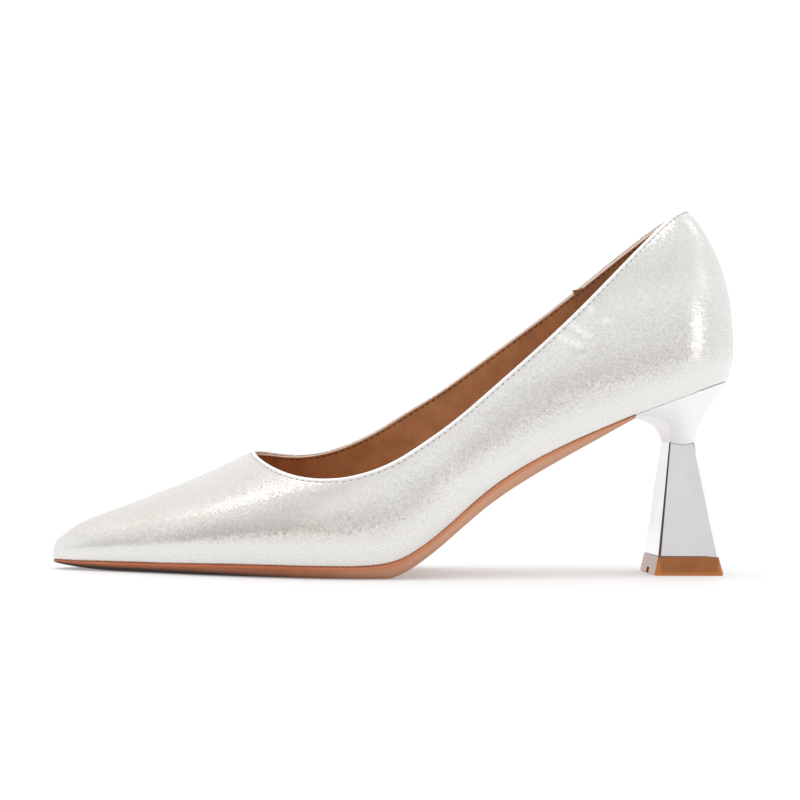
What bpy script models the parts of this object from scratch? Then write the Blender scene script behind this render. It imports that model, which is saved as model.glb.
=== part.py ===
# Left high heel shoe: a pointed court shoe on a flared block heel.
# The last's own frame has "along" from the back of the heel to the toe, "side" positive on the outer side of
# the foot, and "height" from the floor. The parent empty then puts the origin under the middle of the shoe.
from collections import namedtuple

import bmesh
import bpy
import numpy as np

# Driving sizes of the last, in metres
LENGTH = 0.240  # back of the heel curve to the toe tip
BALL_WIDTH = 0.072  # feather edge to feather edge across the ball
HEEL_HEIGHT = 0.0673  # floor to the back of the seat
INSTEP = 0.067  # feather edge to ridge where the last is tallest
LEAN = np.radians(0.5)  # how far the last leans forward on its heel
LEAN_ALONG = 0.019  # the point on the floor that it leans about
ORIGIN_ALONG = 0.1205
ORIGIN_SIDE = -0.0021

# Thicknesses and clearances, in metres
WALL = 0.0016  # upper leather with its lining
SEAM_GAP = 0.0003  # between pieces that meet
SOLE_THICK = 0.0055
SOLE_THICK_AT_BREAST = 0.0009
SOLE_TAPER = 0.045  # length over which the sole thins towards the heel
BALL_ALONG = 0.137  # the tread leaves the floor behind this
SPRING_ALONG = 0.215  # and in front of this
TOE_SPRING = 0.0022
TOE_SPRING_POWER = 2
INSOLE_THICK = 0.0013
INSOLE_INSET = 0.0022
INSOLE_BEVEL = 0.0004
INSOLE_TOE_ALONG = 0.231
BREAST_ALONG = 0.0404  # front edge of the heel's seat

# Sections of the last from the toe to the back. Along is in percent of the length, outer, inner, swell and
# ridge_side in percent of the ball width, rise in percent of the heel height, up and tall in percent of the
# instep. Rise lifts the feather edge, swell and up place the widest line of the wall out from it and above
# it, and the ridge is the top of the section.
Section = namedtuple("Section", "along outer inner rise swell up ridge_along ridge_side tall")
SECTIONS = (
    Section(99.5, -19.4, -19.4, 7.4, 0.4, 3.9, 97.9, -19.4, 12.7),
    Section(98.8, -15.3, -23.3, 7.6, 0.6, 4.2, 97.4, -19.4, 14.0),
    Section(97.2, -10.7, -27.2, 7.6, 0.8, 5.1, 95.8, -19.4, 18.3),
    Section(94.2, -4.2, -32.5, 7.6, 1.2, 6.6, 92.7, -19.2, 23.3),
    Section(89.2, 5.0, -38.8, 7.7, 1.7, 8.2, 88.1, -18.5, 29.4),
    Section(83.3, 16.0, -45.0, 7.9, 2.2, 9.7, 82.7, -17.5, 36.6),
    Section(76.7, 27.8, -50.6, 8.2, 2.7, 11.9, 76.5, -16.7, 45.7),
    Section(70.0, 37.5, -53.9, 8.3, 3.1, 14.2, 70.0, -15.6, 56.7),
    Section(63.3, 44.7, -53.6, 8.1, 3.4, 16.4, 63.8, -13.9, 66.5),
    Section(57.1, 48.1, -49.2, 7.9, 3.6, 17.9, 58.1, -11.8, 79.4),
    Section(50.8, 46.4, -41.1, 10.7, 3.6, 19.4, 52.5, -9.7, 92.2),
    Section(47.5, 43.6, -36.5, 16.8, 3.6, 20.1, 49.7, -8.6, 94.8),
    Section(44.2, 40.3, -32.2, 25.4, 3.6, 20.9, 46.9, -7.6, 94.6),
    Section(37.5, 34.7, -26.9, 44.9, 3.7, 22.4, 41.0, -5.6, 93.0),
    Section(30.4, 31.9, -26.1, 60.8, 3.8, 23.1, 35.0, -4.2, 94.2),
    Section(22.9, 32.2, -28.9, 73.3, 3.5, 22.4, 28.8, -2.8, 97.3),
    Section(15.0, 34.2, -33.1, 84.7, 3.3, 20.9, 21.9, -1.4, 100.0),
    Section(8.3, 32.2, -31.7, 93.3, 3.3, 20.0, 17.1, -0.7, 100.3),
    Section(4.1, 23.3, -23.1, 98.1, 3.3, 19.4, 14.7, 0.0, 100.3),
    Section(2.1, 12.8, -12.6, 99.7, 3.0, 19.4, 13.9, 0.0, 100.1),
    Section(1.4, 0.0, 0.0, 100.0, 3.0, 19.4, 13.8, 0.0, 100.3),
)
HEEL_CORNER_SECTION = 18  # the row whose place carries the back corners of the heel block

# Topline from the throat to the back, as the share of the wall's height, widest line to ridge, in percent.
Topline = namedtuple("Topline", "way outer inner")
TOPLINE = (
    Topline(0, 100.0, 100.0),
    Topline(10, 84.0, 94.9),
    Topline(20, 59.5, 79.3),
    Topline(30, 43.4, 67.0),
    Topline(40, 41.7, 64.9),
    Topline(50, 38.8, 59.6),
    Topline(60, 41.8, 58.0),
    Topline(70, 54.9, 63.8),
    Topline(80, 72.6, 75.1),
    Topline(90, 86.1, 85.4),
    Topline(100, 87.7, 87.7),
)
THROAT_ALONG = 0.1694
THROAT_ROUND = 0.35  # share of the topline that the rounding of the throat takes up
UNDER_TURN = 60.0  # degrees that the wall turns in between its widest line and the feather edge

# Edge of the outsole from top to tread: share of the thickness gone down, and distance out from the feather.
SoleEdge = namedtuple("SoleEdge", "down out")
SOLE_EDGE = (
    SoleEdge(0.00, -0.0006),
    SoleEdge(0.06, 0.0002),
    SoleEdge(0.24, 0.0004),
    SoleEdge(0.28, 0.0001),
    SoleEdge(0.88, -0.0004),
    SoleEdge(1.00, -0.0042),
)

# Block of the heel: height, front and back along the shoe, half width and corner radius, in metres.
Block = namedtuple("Block", "height front back half_width corner")
CREASE = Block(0.0460, 0.0252, 0.0164, 0.0072, 0.0005)
BASE = Block(0.0068, 0.0299, 0.0087, 0.0124, 0.0006)
TIP_TOP = BASE._replace(height=BASE.height - SEAM_GAP)
TIP_FLOOR = Block(0.0, 0.0314, 0.0069, 0.0129, 0.0008)
CREASE_DIP = 0.0009  # how far the crease sags across each side face
HEEL_RIM = 0.0003  # upright edge round the seat
TIP_BEVEL = 0.0004
NOTCH_SIZE = (0.0015, 0.0040, 0.0022)  # deep, wide, high

# Bows of the cup's curves from the seat to the crease, inwards and downwards: with both at 1 the curve is
# straight, with both at 2 a quarter of an ellipse, and above that squarer.
Bow = namedtuple("Bow", "inward down")
BREAST_BOW = Bow(2.8, 2.8)
BACK_BOW = Bow(0.77, 1.67)
BACK_TURN = 0.3  # share of each side, at its back, that turns round to the rear face

# Numbers of faces
VAMP_STATIONS = 17
QUARTER_STATIONS = 28
UNDER_ROWS = 3
WALL_ROWS = 9
SOLE_STATIONS = 44
INSOLE_STATIONS = 38
BLOCK_SIDE_POINTS = 7
BLOCK_END_POINTS = 5
CORNER_POINTS = 3
CUP_RINGS = 9
SEAT_POINTS = 60
VAMP_CROWDING = -0.1  # shifts stations towards the toe tip, or above nought towards the back
QUARTER_CROWDING = 0.15
SOLE_CROWDING = -0.08
INSOLE_CROWDING = 0.1
CORNER_SPREAD = 0.15  # points of a heel corner at the seat, as a share of the step along its side
MERGE = 1e-6
SMOOTH_ANGLE = np.radians(35)


def closed_spline(knots, values, period):
    """A smooth function through values at knots that repeats after period, with its slope as an option."""
    steps = np.diff(np.append(knots, knots[0] + period))
    slopes = (np.roll(values, -1) - values) / steps
    count = len(knots)
    matrix = np.zeros((count, count))
    for row in range(count):
        matrix[row, row - 1] += steps[row - 1]
        matrix[row, row] += 2 * (steps[row - 1] + steps[row])
        matrix[row, (row + 1) % count] += steps[row]
    bends = np.linalg.solve(matrix, 6 * (slopes - np.roll(slopes, 1)))

    def at(place, slope=False):
        place = (np.asarray(place, float) - knots[0]) % period + knots[0]
        here = np.clip(np.searchsorted(knots, place, side="right") - 1, 0, count - 1)
        after = (here + 1) % count
        step, run = steps[here], place - knots[here]
        cubic = (bends[after] - bends[here]) / (6 * step)
        square = bends[here] / 2
        line = slopes[here] - step * (2 * bends[here] + bends[after]) / 6
        if slope:
            return line + run * (2 * square + 3 * cubic * run)
        return values[here] + run * (line + run * (square + cubic * run))

    return at


def column(rows, name, size):
    return np.array([getattr(row, name) for row in rows]) * size / 100


def round_loop(outer, inner):
    """Values round the closed loop: toe tip, outer side, back, inner side."""
    return np.concatenate([outer, inner[-2:0:-1]])


def leaned(along, height):
    return along + LEAN * height, height - LEAN * (along - LEAN_ALONG)


# Places round the last: 0 at the toe tip, 1 at the back, 2 at the tip again; the inner side is 2 minus outer.
UPRIGHT_RISE = column(SECTIONS, "rise", HEEL_HEIGHT)
UPRIGHT_RIDGE = UPRIGHT_RISE + column(SECTIONS, "tall", INSTEP)
ALONG, RISE = leaned(column(SECTIONS, "along", LENGTH), UPRIGHT_RISE)
RIDGE_ALONG, RIDGE_HEIGHT = leaned(column(SECTIONS, "ridge_along", LENGTH), UPRIGHT_RIDGE)
OUTER = column(SECTIONS, "outer", BALL_WIDTH)
INNER = column(SECTIONS, "inner", BALL_WIDTH)
SWELL = column(SECTIONS, "swell", BALL_WIDTH)
SWELL_UP = column(SECTIONS, "up", INSTEP)
RIDGE_SIDE = column(SECTIONS, "ridge_side", BALL_WIDTH)
HALF_WIDTH = (OUTER - INNER) / 2
STEPS = np.sqrt(np.diff(ALONG) ** 2 + np.diff(HALF_WIDTH) ** 2 + np.diff(RISE) ** 2)
PLACES = np.append(0, np.cumsum(STEPS)) / STEPS.sum()
LOOP_PLACES = np.concatenate([PLACES, 2 - PLACES[-2:0:-1]])


def loop_spline(outer, inner):
    return closed_spline(LOOP_PLACES, round_loop(outer, inner), 2)


FEATHER = [loop_spline(ALONG, ALONG), loop_spline(OUTER, INNER), loop_spline(RISE, RISE)]
RIDGE = [loop_spline(values, values) for values in (RIDGE_ALONG, RIDGE_SIDE, RIDGE_HEIGHT)]
SWELL_OUT_AT = loop_spline(SWELL, SWELL)
SWELL_UP_AT = loop_spline(SWELL_UP, SWELL_UP)
WAYS = column(TOPLINE, "way", 1)
TOPLINE_SHARE = closed_spline(
    np.concatenate([WAYS, 2 - WAYS[-2:0:-1]]),
    round_loop(column(TOPLINE, "outer", 1), column(TOPLINE, "inner", 1)),
    2,
)


def feather(place):
    return np.stack([part(place) for part in FEATHER], axis=-1)


def ridge(place):
    return np.stack([part(place) for part in RIDGE], axis=-1)


def unit(vectors):
    return vectors / np.linalg.norm(vectors, axis=-1, keepdims=True)


def outward(place):
    """Level direction out from the feather edge."""
    along, side = FEATHER[0](place, slope=True), FEATHER[1](place, slope=True)
    return unit(np.stack([side, -along, np.zeros_like(along)], axis=-1))


def widest(place):
    """The line where the wall stands out furthest."""
    point = feather(place) + outward(place) * SWELL_OUT_AT(place)[..., None]
    point[..., 2] += SWELL_UP_AT(place)
    return point


def wall_point(place, climb):
    """A point of the outer face: climb is -1 at the feather edge, 0 at the widest line and 1 at the ridge."""
    place, climb = np.broadcast_arrays(np.asarray(place, float), np.asarray(climb, float))
    low, wide, top = feather(place), widest(place), ridge(place)
    turn = np.clip(climb, 0, 1) * np.pi / 2
    corner = top.copy()
    corner[..., 2] = wide[..., 2]
    above = corner + (wide - corner) * np.cos(turn)[..., None] + (top - corner) * np.sin(turn)[..., None]
    full = np.radians(UNDER_TURN)
    under = np.clip(-climb, 0, 1) * full
    inwards = ((1 - np.cos(under)) / (1 - np.cos(full)))[..., None]
    downwards = (np.sin(under) / np.sin(full))[..., None]
    below = wide + (low - wide) * np.concatenate([inwards, inwards, downwards], axis=-1)
    return np.where((climb >= 0)[..., None], above, below)


def place_of(along, spline):
    """The place on the outer side where a spline of the last has this distance along the shoe."""
    places = np.linspace(0, 1, 4001)
    return float(places[np.argmin(abs(spline(places) - along))])


THROAT = place_of(THROAT_ALONG, RIDGE[0])
BREAST = place_of(BREAST_ALONG, FEATHER[0])


def quarter_place(way):
    """Place of the topline at this share of its way, quadratic at first to round the throat."""
    way = np.asarray(way, float)
    share = np.where(way < THROAT_ROUND, way**2 / (2 * THROAT_ROUND), way - THROAT_ROUND / 2)
    return THROAT + (1 - THROAT) * share / (1 - THROAT_ROUND / 2)


def crowded(count, shift):
    """Shares from 0 to 1, set closer at the end by shift."""
    share = np.linspace(0, 1, count + 1)
    return share + shift * np.sin(np.pi * share)


def side_stations(side):
    """Places along one side (1 outer, -1 inner) from the toe tip, with the climb where the wall ends."""
    vamp = THROAT * crowded(VAMP_STATIONS, VAMP_CROWDING)
    ways = crowded(QUARTER_STATIONS, QUARTER_CROWDING)[1:]
    share = np.minimum(1, TOPLINE_SHARE(ways if side > 0 else 2 - ways))
    ends = np.concatenate([np.ones(len(vamp)), np.arcsin(share) / (np.pi / 2)])
    places = np.concatenate([vamp, quarter_place(ways)])
    return (places if side > 0 else 2 - places), ends


def new_material(name, colour, roughness, metallic):
    material = bpy.data.materials.new(name)
    material.use_nodes = True
    shader = material.node_tree.nodes["Principled BSDF"]
    shader.inputs["Base Color"].default_value = (*colour, 1)
    shader.inputs["Roughness"].default_value = roughness
    shader.inputs["Metallic"].default_value = metallic
    return material


def new_object(name, form, material, collection, parent):
    mesh = bpy.data.meshes.new(name)
    form.to_mesh(mesh)
    form.free()
    mesh.shade_smooth()
    mesh.set_sharp_from_angle(angle=SMOOTH_ANGLE)
    mesh.materials.append(material)
    piece = bpy.data.objects.new(name, mesh)
    collection.objects.link(piece)
    piece.parent = parent
    return piece


def loft(rings, cap_first=True, cap_last=True):
    """A closed form through rings of equally many points; a ring that is a line needs no cap."""
    form = bmesh.new()
    rows = [[form.verts.new(point) for point in ring] for ring in rings]
    for low, high in zip(rows, rows[1:]):
        for near in range(len(low)):
            far = (near + 1) % len(low)
            form.faces.new((low[near], low[far], high[far], high[near]))
    for row, cap in ((rows[0], cap_first), (rows[-1], cap_last)):
        if cap:
            form.faces.new(row)
    bmesh.ops.remove_doubles(form, verts=form.verts, dist=MERGE)
    bmesh.ops.recalc_face_normals(form, faces=form.faces)
    return form


def upper_form():
    """The outer face of the upper: columns of points round the loop, joined at the ridge of the vamp."""
    outer, outer_ends = side_stations(1)
    inner, inner_ends = side_stations(-1)
    places = round_loop(outer, inner)
    ends = round_loop(outer_ends, inner_ends)
    under = np.linspace(-1, 0, UNDER_ROWS + 1)[:-1]
    form = bmesh.new()
    columns = []
    for place, end in zip(places, ends):
        climbs = np.concatenate([under, end * np.linspace(0, 1, WALL_ROWS + 1)])
        columns.append([form.verts.new(point) for point in wall_point(place, climbs)])
    for here, after in zip(columns, columns[1:] + columns[:1]):
        for low in range(len(here) - 1):
            form.faces.new((here[low], after[low], after[low + 1], here[low + 1]))
    bmesh.ops.remove_doubles(form, verts=form.verts, dist=MERGE)
    return form


def add_upper(material, collection, parent):
    upper = new_object("upper", upper_form(), material, collection, parent)
    wall = upper.modifiers.new("wall", "SOLIDIFY")
    wall.thickness = WALL
    wall.offset = -1
    return upper


def sole_bottom(place):
    """Height of the underside of the outsole."""
    along, rise = FEATHER[0](place), FEATHER[2](place)
    reach = np.clip((along - BREAST_ALONG) / SOLE_TAPER, 0, 1)
    thick = SOLE_THICK_AT_BREAST + (SOLE_THICK - SOLE_THICK_AT_BREAST) * np.sin(reach * np.pi / 2)
    arch = np.maximum(0, rise - SEAM_GAP - thick)
    forward = np.clip((along - SPRING_ALONG) / (LENGTH - SPRING_ALONG), 0, 1)
    return np.where(along < BALL_ALONG, arch, TOE_SPRING * forward**TOE_SPRING_POWER)


def sole_edge(place):
    """Points down the edge of the outsole at one place."""
    seat = feather(place) - (0, 0, SEAM_GAP)
    drop = seat[2] - sole_bottom(place)
    return [seat + outward(place) * edge.out - (0, 0, drop * edge.down) for edge in SOLE_EDGE]


def add_outsole(material, collection, parent):
    end = place_of(BREAST_ALONG + SEAM_GAP, FEATHER[0])
    places = end * crowded(SOLE_STATIONS, SOLE_CROWDING)
    rings = [sole_edge(place) + sole_edge(2 - place)[::-1] for place in places]
    return new_object("outsole", loft(rings, cap_first=False), material, collection, parent)


def insole_edge(place):
    """Points up the edge of the insole at one place."""
    edge = feather(place) - outward(place) * INSOLE_INSET
    bevel = outward(place) * INSOLE_BEVEL
    return [
        edge,
        edge + (0, 0, INSOLE_THICK - INSOLE_BEVEL),
        edge - bevel + (0, 0, INSOLE_THICK),
    ]


def add_insole(material, collection, parent):
    toe = place_of(INSOLE_TOE_ALONG, FEATHER[0])
    places = toe + (1 - toe) * crowded(INSOLE_STATIONS, INSOLE_CROWDING)
    rings = [insole_edge(place) + insole_edge(2 - place)[::-1] for place in places]
    return new_object("insole", loft(rings, cap_last=False), material, collection, parent)


def block_ring(block):
    """Points round one level of the heel: outer side, back, inner side and front, with rounded corners."""
    front, back = block.front - block.corner, block.back + block.corner
    outer, inner = block.half_width - block.corner, block.corner - block.half_width
    arcs = []
    for quarter, (along, side) in enumerate([(front, outer), (back, outer), (back, inner), (front, inner)]):
        turns = np.pi / 2 * (quarter + np.linspace(0, 1, CORNER_POINTS))
        level = np.full(CORNER_POINTS, block.height)
        round_corner = block.corner * np.stack([np.cos(turns), np.sin(turns)], axis=1)
        arcs.append(np.column_stack([round_corner + (along, side), level]))
    ring = []
    for count, here, after in zip((BLOCK_SIDE_POINTS, BLOCK_END_POINTS) * 2, arcs, arcs[1:] + arcs[:1]):
        shares = np.linspace(0, 1, count + 2)[1:-1, None]
        ring += [here, here[-1] + (after[0] - here[-1]) * shares]
    return np.concatenate(ring)


def seat_places():
    """Places of the seat's rim, as the block's points from the outer front corner round to the inner."""
    corner = PLACES[HEEL_CORNER_SECTION]
    nudge = CORNER_SPREAD * (corner - BREAST) / BLOCK_SIDE_POINTS
    half_turn = CORNER_POINTS // 2
    front = BREAST + nudge * np.arange(half_turn + 1)
    back = corner + nudge * np.arange(-half_turn, half_turn + 1)
    side = np.linspace(front[-1], back[0], BLOCK_SIDE_POINTS + 2)[1:-1]
    rear = np.linspace(back[-1], 2 - back[-1], BLOCK_END_POINTS + 2)[1:-1]
    outer = np.concatenate([front, side, back])
    return np.concatenate([outer, rear, 2 - outer[::-1]])


def seat_ring(drop):
    """Points round the seat of the heel, this far below it, in the order of a block's points."""
    rim = feather(seat_places()) - (0, 0, SEAM_GAP + drop)
    half_turn = CORNER_POINTS // 2
    between = np.linspace(0, 1, BLOCK_END_POINTS + 2 * half_turn + 2)[1:-1, None]
    front = rim[-1] + (rim[0] - rim[-1]) * between
    return np.concatenate([front[len(front) - half_turn:], rim, front[: len(front) - half_turn]])


def breast_shares():
    """How far each point of the ring belongs to the breast, 1 in front and 0 round the back."""
    side = np.linspace(1, 0, BLOCK_SIDE_POINTS)
    corner = np.ones(CORNER_POINTS)
    rear = np.zeros(2 * CORNER_POINTS + BLOCK_END_POINTS)
    return np.concatenate([corner, side, rear, side[::-1], corner, np.ones(BLOCK_END_POINTS)])


def crease_ring():
    """The crease between cup and block, sagging across each side face."""
    ring = block_ring(CREASE)
    reach = np.clip((CREASE.front - ring[:, 0]) / (CREASE.front - CREASE.back), 0, 1)
    on_side = abs(ring[:, 1]) > CREASE.half_width - CREASE.corner
    ring[:, 2] -= np.where(on_side, CREASE_DIP * np.sin(np.pi * reach), 0)
    return ring


def cup_rings():
    """Rings from under the rim of the seat down to the crease, the sides ruled upright between the two."""
    start, finish = seat_ring(HEEL_RIM), crease_ring()
    breast = breast_shares()
    inward_bow, down_bow = (back + (front - back) * breast for front, back in zip(BREAST_BOW, BACK_BOW))
    ruled = np.minimum(1, breast / BACK_TURN)
    seat = feather(np.linspace(1, BREAST, SEAT_POINTS)) - (0, 0, SEAM_GAP + HEEL_RIM)
    rings = []
    for turn in np.linspace(0, np.pi / 2, CUP_RINGS + 1):
        inward, down = np.sin(turn) ** (2 / inward_bow), 1 - np.cos(turn) ** (2 / down_bow)
        ring = start + (finish - start) * np.stack([inward, down, down], axis=1)
        above = np.interp(ring[:, 0], seat[:, 0], seat[:, 2])
        top = start[:, 2] + (above - start[:, 2]) * ruled
        wide = (ring[:, 2] - finish[:, 2]) / (top - finish[:, 2])
        ring[:, 1] = finish[:, 1] + (start[:, 1] - finish[:, 1]) * wide
        rings.append(ring)
    return rings


def add_heel(material, collection, parent):
    rings = [seat_ring(0)] + cup_rings() + [block_ring(BASE)]
    return new_object("heel", loft(rings), material, collection, parent)


def notch_cutter(collection, parent):
    """A box through the foot of the top piece's front face."""
    deep, wide, high = NOTCH_SIZE
    form = bmesh.new()
    bmesh.ops.create_cube(form, size=1)
    bmesh.ops.scale(form, vec=(2 * deep, wide, 2 * high), verts=form.verts)
    bmesh.ops.translate(form, vec=(TIP_FLOOR.front, 0, 0), verts=form.verts)
    mesh = bpy.data.meshes.new("notch")
    form.to_mesh(mesh)
    form.free()
    cutter = bpy.data.objects.new("notch", mesh)
    collection.objects.link(cutter)
    cutter.parent = parent
    cutter.hide_render = True
    cutter.display_type = "WIRE"
    return cutter


def add_top_piece(material, collection, cutters, parent):
    lift = TIP_BEVEL / TIP_TOP.height
    above_floor = Block(*(low + (high - low) * lift for low, high in zip(TIP_FLOOR, TIP_TOP)))
    floor = TIP_FLOOR._replace(
        front=above_floor.front - TIP_BEVEL,
        back=above_floor.back + TIP_BEVEL,
        half_width=above_floor.half_width - TIP_BEVEL,
    )
    rings = [block_ring(block) for block in (TIP_TOP, above_floor, floor)]
    piece = new_object("top_piece", loft(rings), material, collection, parent)
    cut = piece.modifiers.new("notch", "BOOLEAN")
    cut.object = notch_cutter(cutters, parent)
    return piece


def main():
    for old in list(bpy.data.objects):
        bpy.data.objects.remove(old, do_unlink=True)
    shoe = bpy.data.collections.new("high_heel_shoe")
    cutters = bpy.data.collections.new("cutters")
    for collection in (shoe, cutters):
        bpy.context.scene.collection.children.link(collection)
    origin = bpy.data.objects.new("shoe_origin", None)
    origin.location = (-ORIGIN_ALONG, -ORIGIN_SIDE, 0)
    shoe.objects.link(origin)
    add_upper(new_material("silver_leather", (0.78, 0.77, 0.75), 0.38, 0.35), shoe, origin)
    add_outsole(new_material("tan_sole", (0.42, 0.16, 0.08), 0.45, 0.0), shoe, origin)
    add_insole(new_material("brown_lining", (0.26, 0.10, 0.04), 0.6, 0.0), shoe, origin)
    add_heel(new_material("chrome", (0.86, 0.86, 0.87), 0.06, 1.0), shoe, origin)
    add_top_piece(new_material("tan_tip", (0.32, 0.12, 0.04), 0.4, 0.0), shoe, cutters, origin)


main()
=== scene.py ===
import math
from collections import namedtuple

import bmesh
import bpy
import numpy as np
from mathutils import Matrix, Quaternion, Vector


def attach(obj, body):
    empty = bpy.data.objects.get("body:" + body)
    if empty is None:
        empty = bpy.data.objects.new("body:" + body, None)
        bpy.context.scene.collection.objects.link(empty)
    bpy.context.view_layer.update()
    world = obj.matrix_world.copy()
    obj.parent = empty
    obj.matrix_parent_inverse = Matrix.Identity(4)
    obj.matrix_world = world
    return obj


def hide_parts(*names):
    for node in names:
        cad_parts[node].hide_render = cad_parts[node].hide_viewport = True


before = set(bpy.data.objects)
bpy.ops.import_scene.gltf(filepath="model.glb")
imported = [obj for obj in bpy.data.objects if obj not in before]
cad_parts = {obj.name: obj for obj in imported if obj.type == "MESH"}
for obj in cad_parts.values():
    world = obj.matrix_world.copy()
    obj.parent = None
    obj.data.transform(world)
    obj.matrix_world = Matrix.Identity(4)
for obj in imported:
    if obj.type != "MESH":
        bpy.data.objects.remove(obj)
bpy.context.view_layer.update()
print("frame loaded:", ", ".join(sorted(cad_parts)))

# the last that the shoe is made on: along from the back to the toe, side towards the outer side of the foot
last = {
    "length": 0.240,
    "ballWidth": 0.072,
    "heelHeight": 0.0673,
    "instep": 0.067,
    "lean": math.radians(0.5),  # how far the last leans forward on its heel
    "leanAlong": 0.019,  # the point on the floor that it leans about
    "throatAlong": 0.1694,
    "throatRound": 0.35,  # share of the topline that rounds the throat
    "underTurn": 60.0,  # degrees the wall turns in below its widest line
    "breastAlong": 0.0404,
    "seamGap": 0.0003,
}
shoeOrigin = np.array([0.1205, -0.0021, 0.0])  # on the last, under the middle of the shoe

# sections from the toe to the back, in percent of length, ball width, heel height and instep
lastSection = namedtuple("lastSection", "along outer inner rise swell up ridgeAlong ridgeSide tall")
sections = [lastSection(*row) for row in (
    (99.5, -19.4, -19.4, 7.4, 0.4, 3.9, 97.9, -19.4, 12.7),
    (98.8, -15.3, -23.3, 7.6, 0.6, 4.2, 97.4, -19.4, 14.0),
    (97.2, -10.7, -27.2, 7.6, 0.8, 5.1, 95.8, -19.4, 18.3),
    (94.2, -4.2, -32.5, 7.6, 1.2, 6.6, 92.7, -19.2, 23.3),
    (89.2, 5.0, -38.8, 7.7, 1.7, 8.2, 88.1, -18.5, 29.4),
    (83.3, 16.0, -45.0, 7.9, 2.2, 9.7, 82.7, -17.5, 36.6),
    (76.7, 27.8, -50.6, 8.2, 2.7, 11.9, 76.5, -16.7, 45.7),
    (70.0, 37.5, -53.9, 8.3, 3.1, 14.2, 70.0, -15.6, 56.7),
    (63.3, 44.7, -53.6, 8.1, 3.4, 16.4, 63.8, -13.9, 66.5),
    (57.1, 48.1, -49.2, 7.9, 3.6, 17.9, 58.1, -11.8, 79.4),
    (50.8, 46.4, -41.1, 10.7, 3.6, 19.4, 52.5, -9.7, 92.2),
    (47.5, 43.6, -36.5, 16.8, 3.6, 20.1, 49.7, -8.6, 94.8),
    (44.2, 40.3, -32.2, 25.4, 3.6, 20.9, 46.9, -7.6, 94.6),
    (37.5, 34.7, -26.9, 44.9, 3.7, 22.4, 41.0, -5.6, 93.0),
    (30.4, 31.9, -26.1, 60.8, 3.8, 23.1, 35.0, -4.2, 94.2),
    (22.9, 32.2, -28.9, 73.3, 3.5, 22.4, 28.8, -2.8, 97.3),
    (15.0, 34.2, -33.1, 84.7, 3.3, 20.9, 21.9, -1.4, 100.0),
    (8.3, 32.2, -31.7, 93.3, 3.3, 20.0, 17.1, -0.7, 100.3),
    (4.1, 23.3, -23.1, 98.1, 3.3, 19.4, 14.7, 0.0, 100.3),
    (2.1, 12.8, -12.6, 99.7, 3.0, 19.4, 13.9, 0.0, 100.1),
    (1.4, 0.0, 0.0, 100.0, 3.0, 19.4, 13.8, 0.0, 100.3),
)]
heelCornerSection = 18  # the row that carries the back corners of the heel block

# topline from the throat to the back: share of the way from the widest line to the ridge, in percent
toplineRow = namedtuple("toplineRow", "way outer inner")
topline = [toplineRow(*row) for row in (
    (0, 100.0, 100.0),
    (10, 84.0, 94.9),
    (20, 59.5, 79.3),
    (30, 43.4, 67.0),
    (40, 41.7, 64.9),
    (50, 38.8, 59.6),
    (60, 41.8, 58.0),
    (70, 54.9, 63.8),
    (80, 72.6, 75.1),
    (90, 86.1, 85.4),
    (100, 87.7, 87.7),
)]


def closedSpline(knots, values, period):  # smooth closed curve through the values
    steps = np.diff(np.append(knots, knots[0] + period))
    slopes = (np.roll(values, -1) - values) / steps
    count = len(knots)
    matrix = np.zeros((count, count))
    for row in range(count):
        matrix[row, row - 1] += steps[row - 1]
        matrix[row, row] += 2 * (steps[row - 1] + steps[row])
        matrix[row, (row + 1) % count] += steps[row]
    bends = np.linalg.solve(matrix, 6 * (slopes - np.roll(slopes, 1)))

    def at(place, slope=False):
        place = (np.asarray(place, float) - knots[0]) % period + knots[0]
        here = np.clip(np.searchsorted(knots, place, side="right") - 1, 0, count - 1)
        after = (here + 1) % count
        step, run = steps[here], place - knots[here]
        cubic = (bends[after] - bends[here]) / (6 * step)
        square = bends[here] / 2
        line = slopes[here] - step * (2 * bends[here] + bends[after]) / 6
        if slope:
            return line + run * (2 * square + 3 * cubic * run)
        return values[here] + run * (line + run * (square + cubic * run))

    return at


def column(rows, name, size):
    return np.array([getattr(row, name) for row in rows]) * size / 100


def roundLoop(outer, inner):
    return np.concatenate([outer, inner[-2:0:-1]])


def leaned(alongHere, height):
    return alongHere + last["lean"] * height, height - last["lean"] * (alongHere - last["leanAlong"])


uprightRise = column(sections, "rise", last["heelHeight"])
uprightRidge = uprightRise + column(sections, "tall", last["instep"])
along, rise = leaned(column(sections, "along", last["length"]), uprightRise)
ridgeAlong, ridgeHeight = leaned(column(sections, "ridgeAlong", last["length"]), uprightRidge)
outer = column(sections, "outer", last["ballWidth"])
inner = column(sections, "inner", last["ballWidth"])
swell = column(sections, "swell", last["ballWidth"])
swellUp = column(sections, "up", last["instep"])
ridgeSide = column(sections, "ridgeSide", last["ballWidth"])
stepLengths = np.sqrt(np.diff(along) ** 2 + np.diff((outer - inner) / 2) ** 2 + np.diff(rise) ** 2)
places = np.append(0, np.cumsum(stepLengths)) / stepLengths.sum()  # 0 toe tip, 1 back, 2 toe tip again
loopPlaces = np.concatenate([places, 2 - places[-2:0:-1]])


def loopSpline(outerValues, innerValues):
    return closedSpline(loopPlaces, roundLoop(outerValues, innerValues), 2)


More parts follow.
